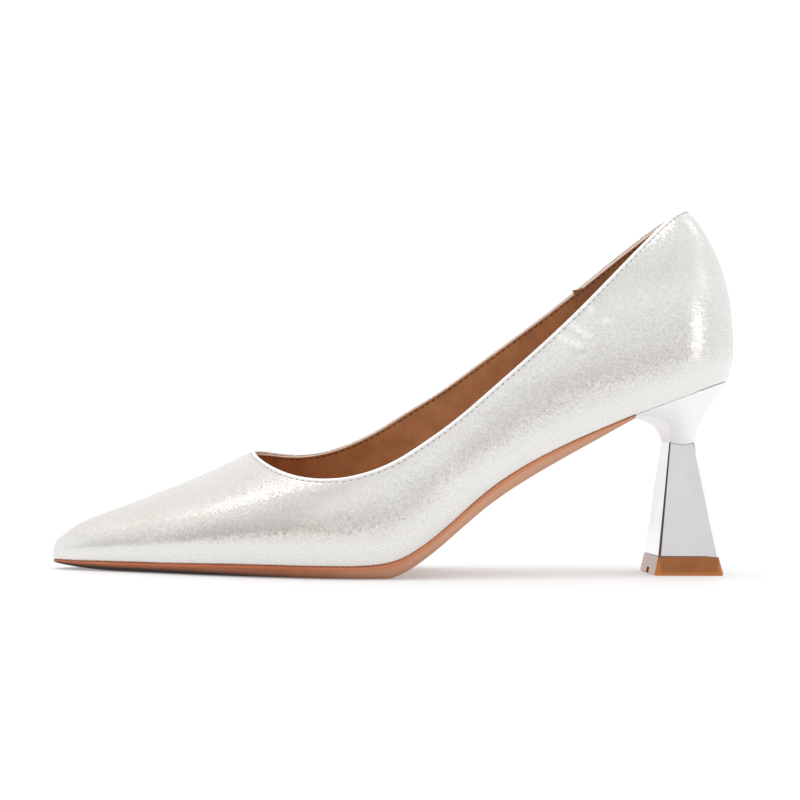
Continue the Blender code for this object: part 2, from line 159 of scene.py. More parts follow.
featherSplines = [loopSpline(along, along), loopSpline(outer, inner), loopSpline(rise, rise)]
ridgeSplines = [loopSpline(values, values) for values in (ridgeAlong, ridgeSide, ridgeHeight)]
swellOutAt = loopSpline(swell, swell)
swellUpAt = loopSpline(swellUp, swellUp)
toplineWays = column(topline, "way", 1)
toplineKnots = np.concatenate([toplineWays, 2 - toplineWays[-2:0:-1]])
outerShare, innerShare = (column(topline, side, 1) for side in ("outer", "inner"))
outerTopline = closedSpline(toplineKnots, roundLoop(outerShare, innerShare), 2)
innerTopline = closedSpline(toplineKnots, roundLoop(innerShare, innerShare), 2)  # leaves the ridge squarely


def feather(place):
    return np.stack([part(place) for part in featherSplines], axis=-1)


def ridge(place):
    return np.stack([part(place) for part in ridgeSplines], axis=-1)


def unit(vectors):
    return vectors / np.maximum(np.linalg.norm(vectors, axis=-1, keepdims=True), 1e-12)


def outward(place):  # level, away from the feather edge
    forth, across = featherSplines[0](place, slope=True), featherSplines[1](place, slope=True)
    return unit(np.stack([across, -forth, np.zeros_like(forth)], axis=-1))


def wallPoint(place, climb):  # climb -1 feather edge, 0 widest line, 1 ridge
    place, climb = np.broadcast_arrays(np.asarray(place, float), np.asarray(climb, float))
    low, top = feather(place), ridge(place)
    wide = low + outward(place) * swellOutAt(place)[..., None]
    wide[..., 2] += swellUpAt(place)
    turn = np.clip(climb, 0, 1) * np.pi / 2
    corner = top.copy()
    corner[..., 2] = wide[..., 2]
    above = corner + (wide - corner) * np.cos(turn)[..., None] + (top - corner) * np.sin(turn)[..., None]
    full = math.radians(last["underTurn"])
    under = np.clip(-climb, 0, 1) * full
    inwards = ((1 - np.cos(under)) / (1 - math.cos(full)))[..., None]
    downwards = (np.sin(under) / math.sin(full))[..., None]
    below = wide + (low - wide) * np.concatenate([inwards, inwards, downwards], axis=-1)
    return np.where((climb >= 0)[..., None], above, below)


def placeOf(distance, spline):
    fine = np.linspace(0, 1, 4001)
    return float(fine[np.argmin(abs(spline(fine) - distance))])


throat = placeOf(last["throatAlong"], ridgeSplines[0])
breast = placeOf(last["breastAlong"], featherSplines[0])


def quarterPlace(way):
    lead = last["throatRound"]
    share = np.where(way < lead, way**2 / (2 * lead), way - lead / 2)
    return throat + (1 - throat) * share / (1 - lead / 2)


# helpers for meshes
def gridFaces(columns, rows, roundColumns=False, roundRows=False):
    faces = []
    for here in range(columns if roundColumns else columns - 1):
        after = (here + 1) % columns
        for row in range(rows if roundRows else rows - 1):
            over = (row + 1) % rows
            corners = ((here, row), (here, over), (after, over), (after, row))
            faces.append(tuple(one * rows + other for one, other in corners))
    return faces


def addObject(name, data):
    thing = bpy.data.objects.new(name, data)
    bpy.context.scene.collection.objects.link(thing)
    return thing


def bakedMesh(piece):  # with its modifiers worked in
    bpy.context.view_layer.update()
    return bpy.data.meshes.new_from_object(piece.evaluated_get(bpy.context.evaluated_depsgraph_get()))


def makePiece(name, points, faces, materials, faceSlots=None, smooth=True):
    mesh = bpy.data.meshes.new(name)
    mesh.from_pydata((np.asarray(points).reshape(-1, 3) - shoeOrigin).tolist(), [], faces)
    mesh.validate()
    for material in materials:
        mesh.materials.append(material)
    if faceSlots is not None:
        mesh.polygons.foreach_set("material_index", np.asarray(faceSlots, np.int32))
    if smooth:
        mesh.shade_smooth()
    return addObject(name, mesh)


def loftPiece(name, rings, materials, faceSlots=None, start=True, turned=False):  # a tube with filled ends
    count, size = np.shape(rings)[:2]
    first, final = (tuple(ring * size + at for at in range(size)) for ring in (0, count - 1))
    ends = [first, final[::-1] if turned else final]
    faces = gridFaces(count, size, roundRows=True) + (ends if start else ends[1:])
    return makePiece(name, rings, faces, materials, faceSlots)


def setAttribute(piece, name, values):
    layer = piece.data.attributes.new(name, "FLOAT", "POINT")
    layer.data.foreach_set("value", np.asarray(values, np.float32).ravel())


def finishClosed(piece, angle=40):  # turns a closed form's faces outwards and keeps its hard edges
    form = bmesh.new()
    form.from_mesh(piece.data)
    bmesh.ops.remove_doubles(form, verts=form.verts, dist=1e-6)
    bmesh.ops.recalc_face_normals(form, faces=form.faces)
    form.to_mesh(piece.data)
    form.free()
    piece.data.set_sharp_from_angle(angle=math.radians(angle))


def mount(piece, slot, *nodes):  # every piece rides on the shoe's one body
    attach(piece, "root")
    if nodes:
        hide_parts(*nodes)


# helpers for materials
def addNode(tree, kind, inputs=None, **settings):
    node = tree.nodes.new(kind)
    for name, value in settings.items():
        setattr(node, name, value)
    for name, value in (inputs or {}).items():
        if isinstance(value, bpy.types.NodeSocket):
            tree.links.new(value, node.inputs[name])
        else:
            node.inputs[name].default_value = value
    return node


def startMaterial(name, sockets):
    material = bpy.data.materials.new(name)
    material.use_nodes = True
    shader = material.node_tree.nodes["Principled BSDF"]
    for socket, value in sockets.items():
        shader.inputs[socket].default_value = value
    return material, material.node_tree, shader


def rampNode(tree, factor, stops):
    node = addNode(tree, "ShaderNodeValToRGB", {"Fac": factor})
    ramp = node.color_ramp
    while len(ramp.elements) < len(stops):
        ramp.elements.new(0.5)
    for element, (position, colour) in zip(ramp.elements, stops):
        element.position = position
        element.color = (*colour, 1)
    return node.outputs["Color"]


def rangeNode(tree, value, fromLow, fromHigh, toLow, toHigh, **settings):
    limits = {"From Min": fromLow, "From Max": fromHigh, "To Min": toLow, "To Max": toHigh}
    return addNode(tree, "ShaderNodeMapRange", {"Value": value, **limits}, **settings).outputs["Result"]


def attributeOf(tree, name):
    return addNode(tree, "ShaderNodeAttribute", attribute_name=name).outputs["Fac"]


def mixNumbers(tree, factor, first, second):
    return addNode(tree, "ShaderNodeMix", {0: factor, 2: first, 3: second}).outputs[0]


def mixColours(tree, factor, first, second, blend="MIX"):
    inputs = {0: factor, 6: first, 7: second}
    return addNode(tree, "ShaderNodeMix", inputs, data_type="RGBA", blend_type=blend).outputs[2]


def mathOf(tree, operation, first, second):
    return addNode(tree, "ShaderNodeMath", {0: first, 1: second}, operation=operation).outputs[0]


def vectorOf(tree, operation, *values):
    return addNode(tree, "ShaderNodeVectorMath", dict(enumerate(values)), operation=operation).outputs


def objectPlace(tree):
    return addNode(tree, "ShaderNodeTexCoord").outputs["Object"]


def noiseOf(tree, where, size, detail):
    inputs = {"Vector": where, "Scale": 1 / size, "Detail": detail}
    return addNode(tree, "ShaderNodeTexNoise", inputs).outputs["Fac"]


def cellsOf(tree, where, size, **settings):
    return addNode(tree, "ShaderNodeTexVoronoi", {"Vector": where, "Scale": 1 / size}, **settings).outputs


def bumpOf(tree, height, strength, deep):
    inputs = {"Strength": strength, "Distance": deep, "Height": height}
    return addNode(tree, "ShaderNodeBump", inputs).outputs["Normal"]


def feed(tree, shader, sockets):
    for socket, value in sockets.items():
        tree.links.new(value, shader.inputs[socket])


# silver shimmer leather: flakes of foil that each lean their own way, over a fine grain
silverLook = {
    "flakeSize": 0.00060,
    "flakeLean": 0.11,
    "calmLean": 0.035,  # where the leather is stretched smooth above the sole
    "metallic": 0.70,
    "roughness": (0.14, 0.32),  # of the smoothest flake and the roughest
    "dark": (0.715, 0.693, 0.657),
    "middle": (0.776, 0.762, 0.737),
    "bright": (0.832, 0.827, 0.812),
    "toneRange": (0.25, 1.75),  # of a flake and the cloud over it, added up
    # even, paler tone painted on the band above the sole, a painted reflection of the floor
    "litBandTone": 0.8,
    "cloudSize": 1 / 70,
    "warmth": (0.985, 0.963, 0.940, 1),  # of the vamp
    "highlightColour": (0.97, 0.97, 0.96, 1),  # painted highlight on the folded edge and the crease ridges
    "highlightMetal": 0.3,
    "grainSize": 0.0009,
    "grainDeep": 0.00003,
    "grainStrength": 0.35,
}


def silverLeather():
    look = silverLook
    material, tree, shader = startMaterial("silverLeather", {"Specular IOR Level": 0.5})
    smoothLitBand, warm, paintedHighlight = (attributeOf(tree, name) for name in ("smoothLitBand", "warm", "paintedHighlight"))
    where = objectPlace(tree)
    flakes = cellsOf(tree, where, look["flakeSize"])
    parts = addNode(tree, "ShaderNodeSeparateColor", {"Color": flakes["Color"]}).outputs
    clouded = mathOf(tree, "ADD", parts["Red"], noiseOf(tree, where, look["cloudSize"], 3.0))
    tone = mixNumbers(tree, smoothLitBand, rangeNode(tree, clouded, *look["toneRange"], 0.0, 1.0), look["litBandTone"])
    stops = [(0.0, look["dark"]), (0.45, look["middle"]), (1.0, look["bright"])]
    toned = mixColours(tree, warm, rampNode(tree, tone, stops), look["warmth"], "MULTIPLY")
    grain = cellsOf(tree, where, look["grainSize"], feature="SMOOTH_F1")
    grained = bumpOf(tree, grain["Distance"], look["grainStrength"], look["grainDeep"])
    centred = vectorOf(tree, "SUBTRACT", flakes["Color"], (0.5, 0.5, 0.5))[0]
    lean = mixNumbers(tree, smoothLitBand, look["flakeLean"], look["calmLean"])
    leaning = vectorOf(tree, "MULTIPLY_ADD", centred, lean, grained)[0]
    # painted highlight where the attribute says so: near white and less metallic
    sockets = {
        "Base Color": mixColours(tree, paintedHighlight, toned, look["highlightColour"]),
        "Metallic": mixNumbers(tree, paintedHighlight, look["metallic"], look["highlightMetal"]),
        "Roughness": rangeNode(tree, parts["Green"], 0.0, 1.0, *look["roughness"]),
        "Normal": vectorOf(tree, "NORMALIZE", leaning)[0],
    }
    feed(tree, shader, sockets)
    return material


# painted light and shade on the sole's edge: a painted sheen makes it paler along the arch, painted shade
# makes it darker where the edge turns under, most at the toe
edgeLightLook = {
    "sheenReach": (0.42, 0.68),  # where the painted sheen comes in, 0 at the toe, 1 at the heel
    "strength": ((0.05, 2.3), (0.45, 0.7), (0.70, 0.3)),  # how strongly the painted shade darkens, along the same way
    # darkness of the painted shade, from none to nearly black
    "tones": ((0.0, 1.0), (0.3, 0.78), (0.57, 0.46), (0.85, 0.06)),
}


def greyRamp(tree, factor, stops):
    return rampNode(tree, factor, [(place, (tone,) * 3) for place, tone in stops])


def paintedEdgeLight(tree, colour, arch):
    back = attributeOf(tree, "back")
    paler = mixColours(tree, rangeNode(tree, back, *edgeLightLook["sheenReach"], 0.0, 1.0), colour, (*arch, 1))
    lower = mathOf(tree, "MULTIPLY", attributeOf(tree, "low"), greyRamp(tree, back, edgeLightLook["strength"]))
    return mixColours(tree, 1.0, paler, greyRamp(tree, lower, edgeLightLook["tones"]), "MULTIPLY")


# plain leathers: lining, sock and sole share one recipe
leatherColumns = "dark light roughness cloudSize poreSize poreDeep arch"
leatherLook = namedtuple("leatherLook", leatherColumns, defaults=(None,))  # only the sole has an arch colour, a painted sheen
liningLeathers = {
    "liningLeather": leatherLook((0.46, 0.212, 0.088), (0.60, 0.290, 0.130), 0.5, 0.006, 0.0011, 0.00010),
    "heelPanelLeather": leatherLook((0.40, 0.185, 0.085), (0.49, 0.235, 0.115), 0.62, 0.012, 0.0006, 0.00005),
    "rawLeatherEdge": leatherLook((0.78, 0.60, 0.47), (0.88, 0.74, 0.62), 0.7, 0.002, 0.0004, 0.00005),
}
clouds = {"range": (0.3, 0.7), "rough": 0.06, "detail": 5.0, "poreStrength": 0.5}


def plainLeather(name, look):
    material, tree, shader = startMaterial(name, {"Specular IOR Level": 0.4})
    where = objectPlace(tree)
    cloud = noiseOf(tree, where, look.cloudSize, clouds["detail"])
    colour = rampNode(tree, cloud, list(zip(clouds["range"], (look.dark, look.light))))
    if look.arch:
        colour = paintedEdgeLight(tree, colour, look.arch)
    rough = (look.roughness + clouds["rough"], look.roughness - clouds["rough"])
    pores = cellsOf(tree, where, look.poreSize)["Distance"]
    sockets = {
        "Base Color": colour,
        "Roughness": rangeNode(tree, cloud, *clouds["range"], *rough),
        "Normal": bumpOf(tree, pores, clouds["poreStrength"], look.poreDeep),
    }
    feed(tree, shader, sockets)
    return material


silver = silverLeather()
liningBrown, panelBrown, rawEdge = (plainLeather(name, look) for name, look in liningLeathers.items())
print("leathers ready")

# upper: one tube from the folded topline down to the margin under the feather edge
upperSpec = {
    "columns": 220,  # from the throat and toe to the back, on each side
    "wayStart": 0.25,  # steps along the topline are closer together round the throat
    "lowSteps": (0.45, 0.85, -0.3),  # and along the feather edge round the toe
    "column": 0.070,  # mean length of a column, for spacing its rows
    "edgeRows": 14,
    "edgeDepth": 0.004,
    "faceRows": 84,
    "wall": 0.0016,
    "leather": 0.0009,
    "rollOut": 0.00022,
    "rollSteps": 7,
    "turnIn": (0.0006, 0.0022),
    "margin": (0.0006, 0.0013, 0.0019),
    "stitchDrop": 0.0013,
    "grooveDeep": 0.00007,
    "grooveWide": 0.00030,
    "beadDrop": 0.0005,
    "beadHigh": 0.00010,
    "beadWide": 0.00055,
    "edgeHighlightWide": 0.0009,  # the folded edge, painted near white as a highlight
    "creaseHighlight": 0.85,
    "smoothLitTop": 0.0095,  # height above the feather edge up to which the leather is stretched smooth and painted an even, paler tone
    "smoothLitFade": 0.0035,
    "vampAlong": 0.120,
    "vampFade": 0.035,
    "evenEdge": 0.006,  # no waves nearer to the topline
}
climbSteps = 161
ridgeSteps = 201


def wallArcs(where):  # length up the wall from the feather edge, for some climbs at each place
    climbs = np.linspace(-1, 1, climbSteps)
    line = wallPoint(np.asarray(where)[:, None], climbs[None, :])
    lengths = np.linalg.norm(np.diff(line, axis=1), axis=2)
    return climbs, np.concatenate([np.zeros((len(line), 1)), np.cumsum(lengths, axis=1)], axis=1)


def climbOf(where, heights):
    climbs, arcs = wallArcs(where)
    return np.array([np.interp(height, arc, climbs) for height, arc in zip(heights, arcs)])


def heightOf(where, wanted):
    climbs, arcs = wallArcs(where)
    return np.array([np.interp(climb, climbs, arc) for climb, arc in zip(wanted, arcs)])


def waysOf(share):
    start = upperSpec["wayStart"]
    return share * (start + (1 - start) * share)


def upperSide(side):  # places and climbs of one side, 1 outer and -1 inner, blended between its four edges
    spec = upperSpec
    onSide = (lambda where: where) if side > 0 else (lambda where: 2 - where)
    share = np.linspace(0, 1, spec["columns"] + 1)
    ways = waysOf(share)
    first, second, third = spec["lowSteps"]
    lowPlaces = share * (first + second * share + third * share**2)
    fineRows = np.linspace(0, spec["edgeDepth"], spec["edgeRows"], endpoint=False)
    plainRows = np.linspace(spec["edgeDepth"], spec["column"], spec["faceRows"])
    down = np.concatenate([fineRows, plainRows]) / spec["column"]
    topPlaces = quarterPlace(ways)
    shares = outerTopline(ways) if side > 0 else innerTopline(ways)
    topClimbs = np.arcsin(np.clip(shares, -1, 1)) / (np.pi / 2)
    top = np.stack([topPlaces, heightOf(onSide(topPlaces), topClimbs)], axis=1)
    low = np.stack([lowPlaces, np.zeros_like(lowPlaces)], axis=1)
    ridgePlaces = np.linspace(throat, 0, ridgeSteps)
    ridgeRun = np.append(0, np.cumsum(np.linalg.norm(np.diff(ridge(ridgePlaces), axis=0), axis=1)))
    ridgeHeights = heightOf(onSide(ridgePlaces), np.ones(ridgeSteps))
    toeHeight = ridgeHeights[-1]
    run = down * (ridgeRun[-1] + toeHeight)
    frontPlaces = np.interp(run, ridgeRun, ridgePlaces)
    frontHeights = np.interp(run, ridgeRun, ridgeHeights) - np.maximum(0, run - ridgeRun[-1])
    front = np.stack([frontPlaces, frontHeights], axis=1)
    back = np.stack([np.ones_like(down), top[-1, 1] * (1 - down)], axis=1)
    u, v = share[:, None, None], down[None, :, None]
    corners = (1 - u) * (1 - v) * top[0] + u * (1 - v) * top[-1] + (1 - u) * v * low[0] + u * v * low[-1]
    patch = (1 - v) * top[:, None] + v * low[:, None] + (1 - u) * front[None] + u * back[None] - corners
    where, heights = onSide(patch[..., 0]), patch[..., 1]
    climbs = np.array([climbOf(*rows) for rows in zip(where, heights)])
    climbs[:, 0] = topClimbs
    climbs[:, -1] = -1
    climbs[0, run <= ridgeRun[-1]] = 1
    return where, climbs


outerPlaces, outerClimbs = upperSide(1)
innerPlaces, innerClimbs = upperSide(-1)
wallPlaces = np.concatenate([outerPlaces, innerPlaces[-2:0:-1]])
wallClimbs = np.concatenate([outerClimbs, innerClimbs[-2:0:-1]])
wall = wallPoint(wallPlaces, wallClimbs)


def aroundLoop(grid):  # from the point before to the point after, round a closed loop
    return np.roll(grid, -1, axis=0) - np.roll(grid, 1, axis=0)


def gridNormals(grid):
    return unit(np.cross(np.gradient(grid, axis=1), aroundLoop(grid)))


wallNormals = gridNormals(wall)
edgeTangents = unit(aroundLoop(wall[:, 0]))
edgeAway = unit(np.cross(wallNormals[:, 0], edgeTangents))  # out of the leather, past its edge
nearRows = 30  # rows, and columns to either side, that lie near the topline
edgeParts = 4  # points on each step of the topline


def edgeDistance(grid, rows):  # from each point of the first rows to the topline
    columns = len(grid)
    top = grid[:, 0]
    step = np.roll(top, -1, axis=0) - top
    fine = np.concatenate([top + step * part / edgeParts for part in range(edgeParts)])
    distance = np.empty((columns, rows))
    for here in range(columns):
        near = (here + np.arange(-nearRows, nearRows + 1)) % columns
        near = np.concatenate([near + part * columns for part in range(edgeParts)])
        distance[here] = np.linalg.norm(grid[here, :rows, None] - fine[near][None], axis=2).min(axis=1)
    return distance


toEdge = edgeDistance(wall, nearRows)

# creases worked into the outer quarter: along and height of both ends, width, height of the ridge
creaseRow = namedtuple("creaseRow", "alongA heightA alongB heightB width high")
creases = [creaseRow(*row) for row in (
    (0.0634, 0.0862, 0.0590, 0.0835, 0.0008, 0.00026),
    (0.0606, 0.0836, 0.0562, 0.0815, 0.0008, 0.00022),
    (0.0675, 0.0824, 0.0644, 0.0804, 0.0008, 0.00020),
    (0.0627, 0.0797, 0.0596, 0.0777, 0.0010, 0.00028),
    (0.0518, 0.0873, 0.0498, 0.0863, 0.0008, 0.00016),
    (0.0577, 0.0927, 0.0559, 0.0910, 0.0009, 0.00016),
)]


def creaseLift(points):  # how far the leather lifts, and how strongly its ridges get a painted highlight
    lift, creaseGlint = np.zeros(points.shape[:-1]), np.zeros(points.shape[:-1])
    onOuter = points[..., 1] > 0
    for crease in creases:
        start = np.array([crease.alongA, crease.heightA])
        end = np.array([crease.alongB, crease.heightB])
        way = end - start
        flat = points[..., [0, 2]] - start
        share = np.clip(flat @ way / (way @ way), 0, 1)
        distance = np.linalg.norm(flat - share[..., None] * way, axis=-1)
        rib = np.exp(-((distance / crease.width) ** 2))
        trough = np.exp(-(((distance - 2 * crease.width) / crease.width) ** 2))
        lift += crease.high * (rib - 0.5 * trough) * onOuter
        creaseGlint = np.maximum(creaseGlint, rib * onOuter)
    return lift, creaseGlint


# slight unevenness of leather pulled over a last: height, then two sine waves that cross
sineWave = namedtuple("sineWave", "x y z shift")  # radians per metre, radians
leatherWaves = (
    (0.00012, sineWave(95, 0, 140, 1.3), sineWave(-60, 0, 120, 0.4)),
    (0.00004, sineWave(260, 90, -210, 0), sineWave(180, 0, 240, 2.1)),
)


def stretchWaves(points):
    x, y, z = (points[..., axis] for axis in range(3))
    lift = np.zeros(x.shape)
    for high, *pair in leatherWaves:
        first, second = (np.sin(wave.x * x + wave.y * y + wave.z * z + wave.shift) for wave in pair)
        lift += high * (first * second)
    return lift


def makeUpper():
    spec = upperSpec
    lift, creaseGlint = creaseLift(wall)
    lift += stretchWaves(wall)
    fade = np.ones(wall.shape[:2])
    fade[:, :nearRows] = np.clip(toEdge / spec["evenEdge"], 0, 1)
    lift *= fade
    bead = spec["beadHigh"] * np.exp(-(((toEdge - spec["beadDrop"]) / spec["beadWide"]) ** 2))
    groove = spec["grooveDeep"] * np.exp(-(((toEdge - spec["stitchDrop"]) / spec["grooveWide"]) ** 2))
    lift[:, :nearRows] += bead - groove
    face = wall + wallNormals * lift[..., None]
    half = spec["leather"] / 2
    topNormal, topPoint = wallNormals[:, 0], face[:, 0]
    middle = topPoint - topNormal * half
    rolled = []
    for turn in np.linspace(0, np.pi, spec["rollSteps"] + 1)[1:]:
        past = edgeAway * spec["rollOut"] * math.sin(turn)
        rolled.append(middle + topNormal * half * math.cos(turn) + past)
    tucked = [rolled[-1] - edgeAway * depth for depth in spec["turnIn"]]
    fold = np.stack((rolled + tucked)[::-1], axis=1)
    under = np.stack([wall[:, -1] - outward(wallPlaces[:, -1]) * depth for depth in spec["margin"]], axis=1)
    tube = np.concatenate([fold, face, under], axis=1)
    piece = makePiece("upperLeather", tube, gridFaces(*tube.shape[:2], True), [silver])
    above = tube[..., 2] - feather(wallPlaces[:, -1])[:, None, 2]
    above[:, fold.shape[1]: -under.shape[1]] = wall[..., 2] - feather(wallPlaces)[..., 2]
    # band above the sole: smoother flakes, and an even paler tone that is a painted reflection of the floor
    smoothLitBand = np.clip((spec["smoothLitTop"] - above) / spec["smoothLitFade"], 0, 1)
    setAttribute(piece, "smoothLitBand", smoothLitBand)
    warm = np.clip((tube[..., 0] - spec["vampAlong"]) / spec["vampFade"], 0, 1)
    setAttribute(piece, "warm", warm * (1 - smoothLitBand))
    # painted highlight: the whole fold, a band just under it and the crease ridges are painted near white
    rim = spec["creaseHighlight"] * creaseGlint
    rim[:, :nearRows] += np.exp(-((toEdge / spec["edgeHighlightWide"]) ** 4))
    paintedHighlight = np.concatenate([np.ones(fold.shape[:2]), rim, np.zeros(under.shape[:2])], axis=1)
    setAttribute(piece, "paintedHighlight", np.clip(paintedHighlight, 0, 1))
    mount(piece, "silver_leather", "upper")
    return face


face = makeUpper()
print("upper ready")

# lining: stands inside the wall, its cut edge just under the fold
liningSpec = {
    "outerDepth": 0.00098,
    "dropRows": 1,
    "throatDrop": 3.2,  # rows by which the lining lies lower round the throat, so the fold shows
    "throatColumns": 42,
    "throatRows": 12,
    "cutRows": 2,
    "hiddenRows": 9,
    "footIn": 0.0030,
    "footUp": 0.0002,
}


def atRows(grid, rows):  # points of each column at rows that may lie between the grid's own
    low = np.clip(np.floor(rows).astype(int), 0, grid.shape[1] - 2)
    here = np.arange(len(grid))[:, None]
    return grid[here, low] + (grid[here, low + 1] - grid[here, low]) * (rows - low)[..., None]


def makeLining():
    spec = liningSpec
    fromThroat = np.minimum(np.arange(len(wall)), len(wall) - np.arange(len(wall)))
    lower = spec["throatDrop"] * np.exp(-((fromThroat / spec["throatColumns"]) ** 2))
    rows = np.arange(spec["dropRows"], wall.shape[1])
    fade = np.clip(1 - (rows - spec["dropRows"]) / spec["throatRows"], 0, 1)
    rows = rows + lower[:, None] * fade
    points, normals = atRows(wall, rows), unit(atRows(wallNormals, rows))
    inside = points - normals * upperSpec["wall"]
    behind = (points - normals * spec["outerDepth"])[:, spec["hiddenRows"] - 1:: -1]
    foot = feather(wallPlaces[:, -1]) - outward(wallPlaces[:, -1]) * spec["footIn"] + (0, 0, spec["footUp"])
    tube = np.concatenate([behind, inside, foot[:, None]], axis=1)
    columns, rows = tube.shape[:2]
    slots = np.zeros((columns, rows - 1), int)
    cut = behind.shape[1] - 1
    slots[:, cut: cut + 1 + spec["cutRows"]] = 1  # the cut edge, rolled a little to the inside
    piece = makePiece("lining", tube, gridFaces(columns, rows, True), [liningBrown, rawEdge], slots.ravel())
    mount(piece, "brown_lining")


makeLining()
print("lining ready")

# heel panel of the lining: a second leather round the back, one corner lifted past the topline
panelSpec = {
    "way": 0.735,  # along the topline from the throat
    "back": 0.00162,
    "front": 0.00212,
    "topRow": 1,
    "rawRows": 2,  # of its pale cut edge
    "lift": (0.0017, 0.0005),
    "liftRows": 4,
}
shareRound = np.linspace(0, 1, upperSpec["columns"] + 1)
panelStart = int(np.argmin(abs(waysOf(shareRound) - panelSpec["way"])))
panelColumns = np.arange(panelStart, len(wall) - panelStart + 1)


def makePanel():
    spec = panelSpec
    depth, top = wallNormals[panelColumns], wall[panelColumns]
    front = (top - depth * spec["front"])[:, spec["topRow"]:]
    behind = (top - depth * spec["back"])[:, spec["topRow"]:]
    rows = spec["liftRows"]
    fade = 1 - np.arange(rows) / (rows - 1)
    for place, high in zip((-1, -2), spec["lift"]):
        raised = edgeAway[panelColumns[place]] * high * fade[:, None]
        front[place, :rows] += raised
        behind[place, :rows] += raised
    rings = np.concatenate([behind[:, ::-1], front], axis=1)
    slots = np.zeros((len(rings) - 1, rings.shape[1]), int)
    cut = behind.shape[1] - 1
    slots[:-2, cut: cut + 1 + spec["rawRows"]] = 1
    piece = loftPiece("heelPanel", rings, [panelBrown, rawEdge], [*slots.ravel(), 0, 0], turned=True)
    finishClosed(piece)
    mount(piece, "brown_lining")


# sock on the insole, gently padded
sockSpec = {
    "stations": 120,
    "across": 18,
    "toeAlong": 0.231,
    "backCrowding": 0.12,
    "edge": ((0.0022, 0.0), (0.0014, 0.0007), (0.0013, 0.0012), (0.0018, 0.0016)),  # in, up
    "crown": 0.0006,
    "crownFlat": 6,  # how soon the crown reaches its height
}


def makeSock():
    spec = sockSpec
    toe = placeOf(spec["toeAlong"], featherSplines[0])
    share = np.linspace(0, 1, spec["stations"] + 1)
    stations = toe + (1 - toe) * (share + spec["backCrowding"] * np.sin(np.pi * share))
    rings = []
    for place in stations[:-1]:
        left = [feather(place) - outward(place) * away + (0, 0, up) for away, up in spec["edge"]]
        right = [feather(2 - place) - outward(2 - place) * away + (0, 0, up) for away, up in spec["edge"]]
        part = np.linspace(0, 1, spec["across"] + 1)[1:-1, None]
        swelling = spec["crown"] * np.minimum(1, spec["crownFlat"] * part * (1 - part)) * (0, 0, 1)
        rings.append(np.concatenate([left, left[-1] + (right[-1] - left[-1]) * part + swelling, right[::-1]]))
    piece = loftPiece("sockLining", rings, [liningBrown], turned=True)
    finishClosed(piece)
    mount(piece, "brown_lining", "insole")


makePanel()
makeSock()
print("heel panel and sock ready")

# outsole: waxed lip along the top of its edge, plain tan below, smooth tread
soleSpec = {
    "stations": 190,
    "across": 12,
    "thick": 0.0055,
    "thickAtBreast": 0.0009,
    "taper": 0.045,
    "ballAlong": 0.137,
    "springAlong": 0.215,
    "toeSpring": 0.0022,
    "toeSpringPower": 2,
    "seatGap": 0.00006,  # under the feather edge
    "lip": 0.28,  # share of the thickness where the lip ends
    "shadeEnd": (1.04, 0.12),  # where the painted shade would end below the edge, and over what share it fades
    "toeCrowding": 0.11,
}
edgeStep = namedtuple("edgeStep", "down out slot")  # share of the thickness, out from the feather, finish
soleEdge = [edgeStep(*row) for row in (
    (0.00, -0.0006, 0),
    (0.015, -0.0001, 0),
    (0.05, 0.00018, 0),
    (0.10, 0.00036, 0),
    (0.17, 0.00042, 0),
    (0.22, 0.00040, 0),
    (0.26, 0.00026, 0),
    (0.28, 0.00010, 1),
    (0.45, 0.00004, 1),
    (0.62, -0.00006, 1),
    (0.76, -0.00022, 1),
    (0.86, -0.00050, 1),
    (0.92, -0.0012, 1),
    (0.97, -0.0026, 1),
    (1.00, -0.0042, 2),
)]


def soleBottom(place):
    spec = soleSpec
    alongHere, riseHere = featherSplines[0](place), featherSplines[2](place)
    reach = np.clip((alongHere - last["breastAlong"]) / spec["taper"], 0, 1)
    thick = spec["thickAtBreast"] + (spec["thick"] - spec["thickAtBreast"]) * np.sin(reach * np.pi / 2)
    arch = np.maximum(0, riseHere - last["seamGap"] - thick)
    forward = np.clip((alongHere - spec["springAlong"]) / (last["length"] - spec["springAlong"]), 0, 1)
    spring = spec["toeSpring"] * forward ** spec["toeSpringPower"]
    return np.where(alongHere < spec["ballAlong"], arch, spring)


def soleEdgePoints(place):
    seat = feather(place) - (0, 0, soleSpec["seatGap"])
    drop = seat[2] - soleBottom(place)
    return np.array([seat + outward(place) * step.out - (0, 0, drop * step.down) for step in soleEdge])


